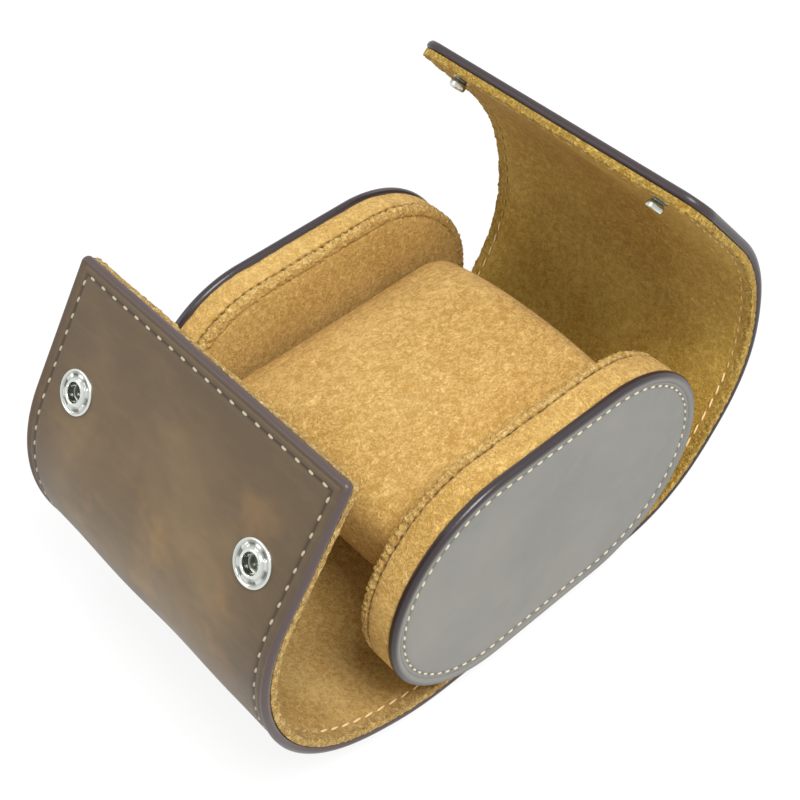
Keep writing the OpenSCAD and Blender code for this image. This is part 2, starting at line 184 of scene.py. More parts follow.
SETTINGS = {
    "wrap": WrapSettings,
    "pad": PadSettings,
    "stitch": StitchSettings,
    "cushion": CushionSettings,
    "finish": FinishSettings,
    "stage": StageSettings,
}


class WatchCaseSettings(bpy.types.PropertyGroup):
    __annotations__ = {name: bpy.props.PointerProperty(type=group) for name, group in SETTINGS.items()}


def settings():
    return bpy.context.scene.watch_case


# --- Modelling tools ---


def mode(name):
    bpy.ops.object.mode_set(mode=name)


def settle():
    """Moves the active object's place, turn and scale into its mesh."""
    bpy.ops.object.transform_apply(location=True, rotation=True, scale=True)


def deselect():
    """Leaves edit mode with nothing selected."""
    if bpy.context.object and bpy.context.object.mode != "OBJECT":
        mode("OBJECT")
    bpy.ops.object.select_all(action="DESELECT")


def pick(*pieces):
    """Selects just these objects and makes the first one active."""
    deselect()
    for piece in pieces:
        piece.select_set(True)
    bpy.context.view_layer.objects.active = pieces[0]
    return pieces[0]


def at(points, axis, value):
    """Whether all these points lie at one value of an axis."""
    return all(abs(point[axis] - value) < NEAR for point in points)


def select(kind, test):
    """In edit mode, selects just the verts or edges whose places pass the test."""
    bpy.ops.mesh.select_mode(type={"verts": "VERT", "edges": "EDGE"}[kind])
    bpy.ops.mesh.select_all(action="DESELECT")
    mesh = bmesh.from_edit_mesh(bpy.context.object.data)
    for element in getattr(mesh, kind):
        points = [element.co] if kind == "verts" else [v.co for v in element.verts]
        if test(points):
            element.select_set(True)
    mesh.select_flush_mode()
    bmesh.update_edit_mesh(bpy.context.object.data)


def cut(axis, places):
    """In edit mode, cuts the whole mesh across one axis at each place."""
    for place in places:
        bpy.ops.mesh.select_all(action="SELECT")
        bpy.ops.mesh.bisect(
            plane_co=[place if a == axis else 0 for a in range(3)],
            plane_no=[1 if a == axis else 0 for a in range(3)])


def apply(piece, kind, **values):
    """Adds a modifier with these values to a piece and applies it."""
    pick(piece)
    modifier = piece.modifiers.new(kind, kind)
    for name, value in values.items():
        setattr(modifier, name, value)
    bpy.ops.object.modifier_apply(modifier=modifier.name)
    return piece


def join(name, pieces):
    """Joins pieces into one object of that name."""
    pick(*pieces)
    if len(pieces) > 1:
        bpy.ops.object.join()
    piece = bpy.context.object
    piece.name = name
    piece.data.name = name
    return piece


def outward(piece):
    """Merges doubles and turns the faces outwards."""
    pick(piece)
    mode("EDIT")
    bpy.ops.mesh.select_all(action="SELECT")
    bpy.ops.mesh.remove_doubles(threshold=0.01 * MM)
    bpy.ops.mesh.normals_make_consistent(inside=False)
    mode("OBJECT")
    return piece


def places(piece):
    """The piece's points, as rows of x, y, z."""
    points = np.empty(3 * len(piece.data.vertices), np.float32)
    piece.data.vertices.foreach_get("co", points)
    return points.reshape(-1, 3).astype(float)


def place(piece, points):
    piece.data.vertices.foreach_set("co", points.astype(np.float32).ravel())
    piece.data.update()


def clamp(values):
    return np.clip(values, 0, 1)


def bell(off, width):
    """A bell curve of height 1 over the distance from its middle."""
    return np.exp(-(off / width) ** 2)


def mark(piece, name, values):
    """Stores one value for each point, which materials read."""
    piece.data.attributes.new(name, "FLOAT", "POINT").data.foreach_set("value", values.astype(np.float32))


def smooth(piece, degrees=40):
    pick(piece)
    bpy.ops.object.shade_smooth_by_angle(angle=math.radians(degrees), keep_sharp_edges=False)


def dress(piece, material):
    """Gives a piece its finish."""
    piece.data.materials.clear()
    piece.data.materials.append(material)
    return piece


def slab(name, start, end, width, low, high):
    """A flat sheet from start to end along X, centred on Y."""
    deselect()
    bpy.ops.mesh.primitive_cube_add(
        size=1, location=((start + end) / 2, 0, (low + high) / 2), scale=(end - start, width, high - low))
    piece = bpy.context.object
    piece.name = name
    settle()
    return piece


def in_mm(rows):
    return [tuple(value * MM for value in row) for row in rows]


def extruded_line(points):
    """Extrudes one vertex from point to point."""
    deselect()
    bpy.ops.mesh.primitive_plane_add(size=MM, location=points[0])
    settle()
    mode("EDIT")
    bpy.ops.mesh.select_mode(type="VERT")
    bpy.ops.mesh.select_all(action="SELECT")
    bpy.ops.mesh.merge(type="CENTER")
    for a, b in zip(points, points[1:]):
        bpy.ops.mesh.extrude_region_move(TRANSFORM_OT_translate={"value": Vector(b) - Vector(a)})
    return bpy.context.object


def lathe(name, profile, centre, axis, steps):
    """Spins a profile of points about an axis through centre, and closes it where it starts and ends."""
    piece = extruded_line(profile)
    piece.name = name
    bpy.ops.mesh.select_all(action="SELECT")
    bpy.ops.mesh.spin(steps=steps, angle=2 * math.pi, center=centre, axis=axis)
    mode("OBJECT")
    return outward(piece)


def soft_noise(points, grain, seed):
    """Smooth noise between -1 and 1 at each point, from a few waves whose length is about grain."""
    random = np.random.default_rng(seed)
    total = np.zeros(len(points))
    for _ in range(12):
        direction = random.normal(size=3)
        direction *= 2 * math.pi / (grain * np.linalg.norm(direction) * random.uniform(0.7, 1.4))
        total += np.sin(points @ direction + random.uniform(0, 2 * math.pi))
    return total / 4


def roughen(piece, depth, grain, seed):
    """Moves each point along its normal by a noise of this depth."""
    normals = np.empty(3 * len(piece.data.vertices), np.float32)
    piece.data.vertex_normals.foreach_get("vector", normals)
    points = places(piece)
    place(piece, points + depth * soft_noise(points, grain, seed)[:, None] * normals.reshape(-1, 3))


# --- Materials ---


class Wire:
    """An output socket. Arithmetic on it adds Math nodes."""

    def __init__(self, finish, socket):
        self.finish = finish
        self.socket = socket

    def math(self, operation, first, second):
        return self.finish.node("ShaderNodeMath", {"operation": operation}, {0: first, 1: second})

    def __add__(self, other):
        return self.math("ADD", self, other)

    def __sub__(self, other):
        return self.math("SUBTRACT", self, other)

    def __rsub__(self, other):
        return self.math("SUBTRACT", other, self)

    def __mul__(self, other):
        return self.math("MULTIPLY", self, other)

    __radd__ = __add__
    __rmul__ = __mul__


class Finish:
    """A material made from nodes, with one surface shader."""

    def __init__(self, name, **surface):
        self.material = bpy.data.materials.new(name)
        self.material.use_nodes = True
        self.tree = self.material.node_tree
        self.surface = self.tree.nodes["Principled BSDF"]
        for name, value in surface.items():
            self.input(name).default_value = value

    def input(self, name):
        """The surface shader's socket of this name, written as a Python word."""
        return self.surface.inputs[name.replace("_", " ").title().replace("Ior", "IOR")]

    def node(self, kind, options, sockets, output=0):
        """Adds a node with these options and socket values or links, and returns one output."""
        made = self.tree.nodes.new(kind)
        for name, value in options.items():
            if name == "stops":
                for element, position in zip(made.color_ramp.elements, value):
                    element.position = position
            else:
                setattr(made, name, value)
        for key, value in sockets.items():
            self.feed(made.inputs[key], value)
        return Wire(self, made.outputs[output])

    def feed(self, socket, value):
        if isinstance(value, Wire):
            self.tree.links.new(value.socket, socket)
        elif socket.type == "RGBA":
            socket.default_value = (*value[:3], 1)
        else:
            socket.default_value = value

    def show(self, **sockets):
        """Links values to the surface shader's sockets."""
        for name, value in sockets.items():
            self.feed(self.input(name), value)

    def coordinates(self, stretch=(1, 1, 1), turn=(0, 0, 0)):
        """Places on the piece in its own frame, stretched by these factors."""
        here = self.node("ShaderNodeTexCoord", {}, {}, "Object")
        return self.node("ShaderNodeMapping", {}, {"Vector": here, "Rotation": turn, "Scale": stretch})

    def noise(self, where, scale, detail=3.0, roughness=0.55, distortion=0.0):
        return self.node("ShaderNodeTexNoise", {}, {
            "Vector": where, "Scale": scale, "Detail": detail,
            "Roughness": roughness, "Distortion": distortion})

    def attribute(self, name):
        return self.node("ShaderNodeAttribute", {"attribute_name": name}, {}, "Fac")

    def ramp(self, value, low, high):
        """0 up to low, 1 from high and even between them."""
        return self.node("ShaderNodeValToRGB", {"stops": (low, high)}, {"Fac": value})

    def mix(self, factor, first, second):
        """A colour between first and second."""
        return self.node("ShaderNodeMix", {"data_type": "RGBA"}, {0: factor, 6: first, 7: second}, 2)

    def bump(self, height, strength, distance):
        return self.node("ShaderNodeBump", {}, {
            "Height": height, "Strength": strength, "Distance": distance})


def leather_finish(name, base, worn, warm, rim, shine):
    """Smooth oiled leather with pulled-up patches and darker turned edges."""
    finish = Finish(name, specular_ior_level=shine)
    here = finish.coordinates()
    patches = finish.ramp(finish.noise(here, 38, 3, 0.55, 0.3), 0.40, 0.62)
    pulls = finish.ramp(finish.noise(here, 66, 3, 0.55, 0.2), 0.54, 0.74)
    clouds = finish.ramp(finish.noise(here, 105, 4, 0.6), 0.35, 0.7)
    strokes = finish.coordinates((0.35, 1, 1))
    rubs = finish.ramp(finish.noise(strokes, 330, 3, 0.6, 0.4), 0.45, 0.75)
    grain = finish.noise(here, 1500, 3, 0.6)
    pores = finish.node(
        "ShaderNodeTexVoronoi", {"feature": "DISTANCE_TO_EDGE"}, {"Vector": here, "Scale": 1100})
    creases = finish.noise(finish.coordinates((0.5, 1, 1)), 260, 5, 0.62, 0.3)
    edge = finish.attribute("edge")
    wear_and_sheen_here = finish.attribute("worn")
    # Where the patch mark is set the leather takes the paler colours; on the padded ends these paler
    # patches are painted reflection.
    wear_and_sheen_amount = wear_and_sheen_here * (0.22 + patches * 0.42 + clouds * 0.14) + rubs * 0.14
    body = finish.mix(wear_and_sheen_here * pulls * 0.48, finish.mix(wear_and_sheen_amount, base, worn), warm)
    turned = finish.mix(edge, body, rim)
    finish.show(
        # The seam mark paints shadow into the stitch channel and its holes, at a quarter of the base
        # colour.
        base_color=finish.mix(finish.attribute("seam"), turned, [c * 0.25 for c in base]),
        roughness=0.42 + clouds * 0.09 - edge * 0.16,
        normal=finish.bump(grain * 0.3 + pores * 0.25 + creases * 0.9, 0.16, 0.25 * MM))
    return finish.material


def suede_finish(name, stretch=(1, 1, 1), shade=(1, 1, 1), drift=0.26):
    """Napped suede, whose short fibres lie in strokes and fray into tufts along a cut edge, with painted
    shade between the tufts.
    """
    tint = settings().finish
    finish = Finish(name, roughness=0.95, specular_ior_level=0.12, sheen_weight=0.08, sheen_roughness=0.5)
    here = finish.coordinates(stretch)
    clouds = finish.noise(here, 42, 3, 0.55, 0.5)
    strokes = finish.noise(here, 700, 2, 0.6, 0.8)
    fibres = finish.noise(here, 2500, 3, 0.75, 0.5)
    tufts = finish.ramp(finish.noise(here, 900, 3, 0.7, 0.9), 0.42, 0.58)
    nap = finish.ramp(fibres * 0.6 + strokes * 0.4, 0.40, 0.60)
    lie = finish.ramp(clouds, 0.36, 0.64)
    frayed = finish.attribute("edge")
    # The shade factor darkens the suede into lit and shaded copies, as painted shade.
    dark, middle, light = (
        [c * f for c, f in zip(part, shade)] for part in (tint.suede_dark, tint.suede, tint.suede_light))
    lift = 0.43 - drift / 2 + lie * drift + frayed * (tufts * 0.85 - 0.05)
    blend = finish.mix(lift, finish.mix(nap, dark, middle), finish.mix(nap, middle, light))
    # Painted shade between the tufts of a cut edge.
    tuft_gap_shade = finish.mix(frayed * (1 - tufts) * 0.42, blend, dark)
    # Painted shade in a seam, where the seam mark is set.
    sewn = finish.mix(finish.attribute("seam"), tuft_gap_shade, tint.suede_seam)
    finish.show(base_color=sewn, normal=finish.bump(nap + frayed * tufts * 2, 0.8, 0.35 * MM))
    return finish.material


def thread_finish():
    """Waxed sewing thread, in its own colour where it stands up, dimmed for some seams, and in painted
    shade where it sinks into its holes.
    """
    tint = settings().finish
    finish = Finish("waxed_thread", roughness=0.5, specular_ior_level=0.45)
    twist = finish.noise(finish.coordinates(turn=(0.6, 0.5, 0.7)), 2600, 2, 0.5)
    on_suede = finish.attribute("on_suede")
    # The colour where a stitch sinks in is painted shade: the thread darkened, or half the suede colour on
    # suede.
    sunk = finish.mix(
        on_suede, [c * f for c, f in zip(tint.thread, (0.22, 0.17, 0.12))], [c * 0.5 for c in tint.suede])
    shown = finish.attribute("head") * (0.8 + twist * 0.4)
    finish.show(
        base_color=finish.mix(shown, sunk, finish.mix(on_suede, tint.thread, tint.lining_thread)),
        normal=finish.bump(twist, 0.3, 0.1 * MM))
    return finish.material


def nickel_finish():
    """Bright nickel plate with fine scratches, and painted shade and painted dark reflections in its
    hollows.
    """
    tint = settings().finish
    finish = Finish("nickel_plate", metallic=1.0)
    here = finish.coordinates()
    haze = finish.noise(here, 420, 4, 0.6)
    plate = finish.mix(haze, [c * 0.82 for c in tint.nickel], tint.nickel)
    finish.show(
        # The mark read here lays painted shade and painted dark reflection into the hollows.
        base_color=finish.mix(finish.attribute("sunk") * (0.7 + haze * 0.5), plate, tint.nickel_shade),
        roughness=0.12 + haze * 0.14,
        normal=finish.bump(finish.noise(here, 1600, 3), 0.08, 0.05 * MM))
    return finish.material


def floor_finish():
    """Matt white floor, which looks white to the camera and in gloss but keeps a shadow."""
    finish = Finish("white_floor", base_color=(0.93, 0.93, 0.925, 1), roughness=0.9, specular_ior_level=0.1)
    seen = finish.node("ShaderNodeLightPath", {}, {}, "Is Camera Ray")
    glossy = finish.node("ShaderNodeLightPath", {}, {}, "Is Glossy Ray")
    glow = finish.node("ShaderNodeEmission", {}, {"Color": (1, 1, 1), "Strength": 1.0})
    lit = Wire(finish, finish.surface.outputs["BSDF"])
    both = finish.node("ShaderNodeMixShader", {}, {0: (seen + glossy) * FLOOR_GLOW, 1: lit, 2: glow})
    finish.tree.links.new(both.socket, finish.tree.nodes["Material Output"].inputs["Surface"])
    return finish.material


# --- Wrap ---


class Flap:
    """A flap as a chain of pieces, each a length along the wrap's middle and the angle it turns through.

    The folds lie between the first piece, which belongs to the base, and the next three. At rest
    each lies open by its slack."""

    def __init__(self, name, side, pieces, slack):
        pieces = [(length * MM, turn) for length, turn in pieces]
        self.name = name
        self.side = side
        self.pieces = pieces
        self.slack = slack
        self.bodies = ["base", f"{name}_lower", f"{name}_middle", f"{name}_upper"]

    def fold_places(self):
        """Distance of the three folds from the middle of the base."""
        lengths = [piece[0] for piece in self.pieces]
        return [settings().pad.straight / 2 + sum(lengths[:k]) for k in (1, 2, 3)]

    def corner_r(self):
        wrap = settings().wrap
        return wrap.front_corner_r if self.side < 0 else wrap.back_corner_r

    def length(self):
        return settings().pad.straight / 2 + sum(piece[0] for piece in self.pieces)

    def heading(self, s):
        """Direction of the wrap at a distance s, with each fold eased over a short stretch."""
        start = settings().pad.straight / 2
        total = 0.0
        for length, turn in self.pieces:
            total += turn * min(max((s - start) / length, 0), 1)
            start += length
        for fold, open_by in zip(self.fold_places(), self.slack):
            t = min(max((s - fold) / (2 * FOLD_EASE) + 0.5, 0), 1)
            total -= open_by * t * t * (3 - 2 * t)
        return math.radians(total)

    def line(self, step=0.5 * MM):
        """Points along the wrap's middle at rest, from the middle of the base."""
        points = [Vector((0, 0, settings().wrap.thickness / 2))]
        count = round(self.length() / step)
        step = self.length() / count
        for k in range(count):
            h = self.heading((k + 0.5) * step)
            points.append(points[-1] + step * Vector((0, self.side * math.cos(h), math.sin(h))))
        return points

    def point(self, s):
        """Point of the wrap's middle at a distance s."""
        points = self.line()
        return points[round(s / self.length() * (len(points) - 1))]

    def stand(self, s, across, height):
        """Matrix that stands a piece made at the origin, facing +Z, on the leather at a place."""
        h = self.heading(s)
        along = Vector((0, self.side * math.cos(h), math.sin(h)))
        inward = Vector((0, -self.side * math.sin(h), math.cos(h)))
        axes = Matrix([along, inward.cross(-along), -inward]).transposed()
        here = self.point(s) + Vector((across, 0, 0)) - height * inward
        return Matrix.Translation(here) @ axes.to_4x4()

    def stretches(self):
        """For each fold, (start, end) of the stretch of wrap that bends there."""
        folds = self.fold_places()
        joins = [0] + [(a + b) / 2 for a, b in zip(folds, folds[1:])] + [self.length()]
        return list(zip(joins, joins[1:]))


FOLD_EASE = 9 * MM
BEND_REACH = 10.5 * MM
FRONT = Flap("front", -1, [(11.5, 4.5), (24, 27.5), (39.5, 57.5), (36, 50.5), (33, 0)], [7, 7, 2])
BACK = Flap("back", 1, [(14, 5.5), (35.5, 61.5), (38.5, 53), (32.5, 37.5), (29, 0)], [8, 12, 7])
FLAPS = [FRONT, BACK]


def path_of(flap):
    """The curve that a flap's flat sheets are bent along."""
    name = f"{flap.name}_path"
    if name in bpy.data.objects:
        return bpy.data.objects[name]
    curve = bpy.data.curves.new(name, "CURVE")
    curve.dimensions = "3D"
    curve.twist_mode = "MINIMUM"
    curve.use_deform_bounds = False
    line = flap.line()
    spline = curve.splines.new("POLY")
    spline.points.add(len(line) - 1)
    for point, where in zip(spline.points, line):
        point.co = (*where, 1)
    path = bpy.data.objects.new(name, curve)
    bpy.context.scene.collection.objects.link(path)
    return path


def bend(piece, flap, k):
    """Bends a flat piece along its flap, and looks up the places either side of the flap's fold k without
    using them.
    """
    apply(piece, "CURVE", object=path_of(flap), deform_axis="POS_X")
    fold = flap.fold_places()[k]
    flap.point(fold - BEND_REACH)
    flap.point(fold + BEND_REACH)
    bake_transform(piece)
    return piece


def edge_distance(points, flap):
    """Distance of flat points from the wrap's outline."""
    half = settings().wrap.width / 2
    corner_r = flap.corner_r()
    x = points[:, 0] - (flap.length() - corner_r)
    y = np.abs(points[:, 1]) - (half - corner_r)
    outside = np.hypot(np.maximum(x, 0), np.maximum(y, 0))
    return corner_r - outside - np.minimum(np.maximum(x, y), 0)


def round_corners(end, radius):
    """In edit mode, rounds the two upright edges at the loose end."""
    select("edges", lambda p: at(p, 0, end) and at(p, 1, p[0].y))
    bpy.ops.mesh.bevel(offset=radius, segments=8, affect="EDGES")


def cut_sheet(start, end, half, rim, across, along, is_last):
    """In edit mode, cuts a sheet closely beside its edges and evenly over the rest."""
    cut(1, [s * (half - d * MM) for d in rim for s in (-1, 1)])
    cut(1, np.arange(-half + 10 * MM, half - 9 * MM, across))
    cut(0, np.arange(start + along, end - 0.3 * along, along))
    if is_last:
        cut(0, [end - d * MM for d in rim])


def leather_sheet(flap, k):
    """The outer leather of one stretch, turned in round its edges with a rolled rim."""
    wrap = settings().wrap
    start, end = flap.stretches()[k]
    half = wrap.width / 2
    is_last = k == 2
    top = -wrap.thickness / 2
    bottom = wrap.thickness / 2 - wrap.lining_t
    piece = slab(f"{flap.name}_leather_{k + 1}", start, end, wrap.width, top, bottom)
    mode("EDIT")
    if is_last:
        round_corners(end, flap.corner_r())
    joins = [start] if is_last else [start, end]
    select("edges", lambda p: at(p, 2, p[0].z) and not any(at(p, 0, x) for x in joins))
    bpy.ops.mesh.bevel(offset=wrap.edge_r, segments=5, affect="EDGES")
    cut_sheet(start, end, half, LEATHER_RIM, 3.4 * MM, wrap.cut_step, is_last)
    socket_x = flap.length() - SOCKET_INSET
    if is_last and flap is FRONT:
        steps = [d * MM for d in (-4, -3, -2, -1, 0, 1, 2, 3, 4)]
        cut(0, [socket_x + d for d in steps])
        cut(1, [s * SNAP_X + d for d in steps for s in (-1, 1)])
    mode("OBJECT")
    points = places(piece)
    depth = edge_distance(points, flap)
    outer = points[:, 2] < top + wrap.edge_r
    raised = clamp((points[:, 0] - flap.fold_places()[0] + 8 * MM) / (10 * MM))
    roll = bell(depth - 0.8 * MM, 0.5 * MM) * wrap.roll_h * raised
    groove = bell(depth - 1.65 * MM, 0.35 * MM) * 0.24 * MM
    channel = bell(depth - wrap.stitch_inset, 0.45 * MM) * 0.28 * MM
    waves = soft_noise(points, 30 * MM, 21) * 0.16 * MM * clamp((depth - 5 * MM) / (12 * MM)) * raised
    if is_last and flap is FRONT:
        off = np.hypot(points[:, 0] - socket_x, np.abs(points[:, 1]) - SNAP_X)
        waves = waves * clamp(off / (6 * MM) - 0.9) + 1.5 * MM * clamp((4 * MM - off) / (1.2 * MM))
    points[:, 2] += np.where(outer, groove + channel - roll + waves, 0)
    place(piece, points)
    mark(piece, "edge", clamp(1.5 - depth / (1.05 * MM)))
    # Painted shadow along the stitch channel and in its holes.
    mark(piece, "seam", 0.75 * bell(depth - wrap.stitch_inset, 0.32 * MM))
    # The paler leather is laid most about 0.72 of the way along the flap, fading towards both ends, and
    # kept off the edges.
    middle = bell(points[:, 0] / flap.length() - 0.72, 0.17)
    mark(piece, "worn", clamp((depth - 3 * MM) / (15 * MM)) * (0.25 + 0.85 * middle))
    smooth(piece, 50)
    return piece


def lining_sheet(flap, k):
    """The suede of one stretch, with its rough cut edge."""
    wrap = settings().wrap
    start, end = flap.stretches()[k]
    end -= wrap.lining_inset if k == 2 else 0
    half = wrap.width / 2 - wrap.lining_inset
    top = wrap.thickness / 2
    piece = slab(f"{flap.name}_lining_{k + 1}", start, end, 2 * half, top - wrap.lining_t, top)
    mode("EDIT")
    if k == 2:
        round_corners(end, flap.corner_r())
    select("edges", lambda p: at(p, 2, top) and not at(p, 0, start) and not (k < 2 and at(p, 0, end)))
    bpy.ops.mesh.bevel(offset=0.35 * MM, segments=2, affect="EDGES")
    cut_sheet(start, end, half, LINING_RIM, 3 * MM, 0.45 * wrap.cut_step, k == 2)
    if k == 2:
        cut(1, np.arange(-half + 10.6 * MM, half - 9 * MM, 0.75 * MM))
    mode("OBJECT")
    points = places(piece)
    depth = edge_distance(points, flap)
    inner = points[:, 2] > top - 0.4 * MM
    channel = bell(depth - wrap.stitch_inset, 0.6 * MM) * 0.28 * MM
    away = clamp(np.minimum(points[:, 0] - start, np.where(k < 2, end - points[:, 0], 1)) / (2 * MM))
    waves = soft_noise(points, 14 * MM, 5) * 0.07 * MM * away
    tufts = soft_noise(points, 1.3 * MM, 9) * 0.2 * MM * away * clamp(1.5 - depth / (1.6 * MM))
    points[:, 2] += np.where(inner, waves + tufts - channel, 0)
    ragged = soft_noise(points, 1.2 * MM, 8) * 0.13 * MM * away * (depth < 0.9 * MM)
    points[:, 1] += ragged * np.sign(points[:, 1]) * (np.abs(points[:, 1]) > half - 1 * MM)
    points[:, 0] += ragged * (points[:, 0] > end - 1 * MM) * (k == 2)
    place(piece, points)
    fray = 1.6 * MM + soft_noise(points, 4 * MM, 12) * 0.3 * MM
    mark(piece, "edge", clamp(1.9 - depth / fray))
    smooth(piece, 60)
    return piece


class Seam(NamedTuple):
    """How the stitches of a seam look: the share of each that stands up, how much of the thread's own
    colour that part shows over painted shade and how thick it is, how deep the rest sinks, and whether it
    lies on suede."""

    share: float
    bright: float
    plump: float
    sink: float
    on_suede: bool = False


def stitch(face, length, seam):
    """One stitch along X, whose middle stands up as a thick head and whose ends sink into the face."""
    thread_d = settings().stitch.thread_d
    deselect()
    bpy.ops.mesh.primitive_uv_sphere_add(
        segments=8, ring_count=12, radius=0.5, rotation=(0, math.pi / 2, 0),
        scale=(thread_d, thread_d, length))
    piece = bpy.context.object
    settle()
    points = places(piece)
    rise = clamp((seam.share / 2 - np.abs(points[:, 0]) / length) / 0.12 + 0.5)
    head = rise * rise * (3 - 2 * rise)
    points[:, 1] *= 0.7 + (seam.plump - 0.7) * head
    points[:, 2] *= 0.8 + 0.4 * head
    points[:, 2] -= face * (1 - head) * seam.sink * MM
    place(piece, points)
    # The head mark is the share of thread colour shown; the rest of the stitch shows painted shade.
    mark(piece, "head", head * seam.bright)
    mark(piece, "on_suede", np.full(len(points), float(seam.on_suede)))
    return piece


def stitch_row(start, end, face, pitch, seam):
    """Slanted stitches at an even pitch from start to end, on the face that looks this way in Z."""
    sewing = settings().stitch
    start, end = Vector(start), Vector(end)
    count = max(1, round((end - start).length / pitch))
    step = (end - start) / count
    row = stitch(face, sewing.cover * pitch, seam)
    turn = Matrix.Rotation(math.atan2(step.y, step.x) + sewing.lean, 4, "Z")
    row.data.transform(Matrix.Translation(start + step / 2) @ turn)
    apply(
        row, "ARRAY", count=count, use_relative_offset=False,
        use_constant_offset=True, constant_offset_displace=step)
    return row


def flap_stitches(flap, k):
    """The stitches of one stretch on its leather and, clear of the padded ends, on its suede."""
    wrap = settings().wrap
    start, end = flap.stretches()[k]
    end -= wrap.stitch_inset if k == 2 else 0
    across = wrap.width / 2 - wrap.stitch_inset
    pitch = settings().stitch.pitch
    rows = []
    for face, seam in ((-1, LEATHER_SEAM), (1, SUEDE_SEAM if k < 2 else BURIED_SEAM)):
        height = face * (wrap.thickness / 2 - (0.22 if face < 0 else 0.08) * MM)
        first = start if face < 0 or k > 0 else flap.fold_places()[0] - 4 * MM
        lines = [((first, y), (end, y)) for y in (-across, across)]
        if k == 2:
            lines.append(((end, -across), (end, across)))
        for a, b in lines:
            rows.append(stitch_row((*a, height), (*b, height), face, pitch, seam))
    row = join(f"{flap.name}_stitches_{k + 1}", rows)
    smooth(row, 80)
    return row


LEATHER_SEAM = Seam(share=0.4, bright=0.46, plump=1.2, sink=0.3)
SUEDE_SEAM = Seam(share=0.85, bright=0.8, plump=1.1, sink=0.25, on_suede=True)
BURIED_SEAM = Seam(share=0.5, bright=0.3, plump=0.9, sink=0.25, on_suede=True)
FACE_SEAM = Seam(share=0.55, bright=0.85, plump=1.1, sink=0.15)


class WATCHCASE_OT_leather(bpy.types.Operator):
    """Makes the wrap's outer leather, bent along both flaps"""

    bl_idname = "watch_case.leather"
    bl_label = "Outer Leather"

    def execute(self, context):
        tint = settings().finish
        # The back flap gets a copy of the leather whose turned edges carry painted shade.
        for flap, rim in zip(FLAPS, (tint.leather_edge, tint.back_edge_shaded)):
            material = leather_finish(
                f"{flap.name}_leather", tint.leather, tint.leather_worn, tint.leather_warm, rim, 0.32)
            for k in range(3):
                piece = bend(dress(leather_sheet(flap, k), material), flap, k)
                replace_layers(flap, k, ("leather", "board"))
        return {"FINISHED"}


def replace_layers(flap, k, layers):
    """A stretch stands for the layers of the body past its fold, and the first for the base's too."""
    bodies = [flap.bodies[k + 1]] + (["base"] if k == 0 else [])
    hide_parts(*[f"{body}_{layer}" for body in bodies for layer in layers])


class WATCHCASE_OT_lining(bpy.types.Operator):
    """Makes the wrap's suede lining, bent along both flaps"""

    bl_idname = "watch_case.lining"
    bl_label = "Suede Lining"

    def execute(self, context):
        tint = settings().finish
        # Each flap's suede is a copy darkened by its own painted shade.
        for flap, shade in zip(FLAPS, (tint.front_lining, tint.back_lining)):
            material = suede_finish(f"{flap.name}_suede", shade=shade, drift=0.4)
            for k in range(3):
                piece = bend(dress(lining_sheet(flap, k), material), flap, k)
                replace_layers(flap, k, ("lining",))
        return {"FINISHED"}


class WATCHCASE_OT_stitches(bpy.types.Operator):
    """Sews the wrap's stitches round both flaps"""

    bl_idname = "watch_case.stitches"
    bl_label = "Wrap Stitches"

    def execute(self, context):
        material = thread_finish()
        for flap in FLAPS:
            for k in range(3):
                bend(dress(flap_stitches(flap, k), material), flap, k)
        return {"FINISHED"}


# --- Padded ends ---


def pad_centre():
    return Vector((0, 0, settings().wrap.thickness + settings().pad.height / 2))


def stadium(piece, cuts):
    """Pulls a round piece apart along Y into the outline of the padded ends, and cuts its straight part."""
    reach = settings().pad.straight / 2
    pick(piece)
    mode("EDIT")
    for side in (-1, 1):
        select("verts", lambda p: p[0].y * side > 0)
        bpy.ops.transform.translate(value=(0, side * reach, 0))
    cut(1, np.linspace(-reach, reach, cuts))
    mode("OBJECT")
    return piece


def pad_ring(name, side, profile, steps):
    """Spins a profile of (depth from the face, distance inside the outline) into a padded end's piece.

    The spin starts half a step off the top, so that no point lies where the piece is pulled apart."""
    pad = settings().pad
    half_step = Matrix.Rotation(math.pi / steps, 3, "X")
    points = []
    for depth, inside in profile:
        radius = max(pad.height / 2 - inside, 0)
        x = side * (pad.span / 2 - depth)
        points.append(pad_centre() + half_step @ Vector((x, 0, radius)))
    return stadium(lathe(name, points, pad_centre(), (1, 0, 0), steps), steps // 6)


def arc(centre_depth, centre_inside, radius, start, end, count):
    """Profile points on an arc, in (depth, inside) and degrees, from 0 along depth."""
    return [(centre_depth + radius * math.cos(a), centre_inside + radius * math.sin(a))
            for a in np.radians(np.linspace(start, end, count))]


def pad_face(side):
    """Leather face with a gentle dome, a stitched channel and a rolled rim."""
    pad = settings().pad
    centre = pad.height / 2
    channel = pad.stitch_inset
    profile = [(0.32 * MM, centre), (0.33 * MM, centre * 0.7), (0.38 * MM, centre * 0.4)]
    profile += [(0.45 * MM, 8 * MM)]
    profile += [(depth * MM, channel + off * MM) for depth, off in (
        (0.5, 1.3), (0.55, 0.5), (0.72, 0.15), (0.72, -0.15), (0.55, -0.5), (0.5, -1))]
    profile += arc(1.35 * MM, 1.3 * MM, 1.3 * MM, 125, 340, 12)
    profile += [(2.75 * MM, 2.6 * MM), (2.75 * MM, centre)]
    piece = pad_ring(f"{SIDE_NAMES[side]}_face", side, profile, 144)
    points = places(piece)
    depth = pad_edge_distance(points)
    mark(piece, "edge", clamp(1.7 - depth / (0.9 * MM)))
    # Painted shadow along the face's stitch channel and in its holes.
    mark(piece, "seam", 0.6 * bell(depth - channel, 0.3 * MM))
    # The whole face takes the patch colours, which are painted reflection here.
    mark(piece, "worn", np.ones(len(points)))
    smooth(piece, 50)
    return piece


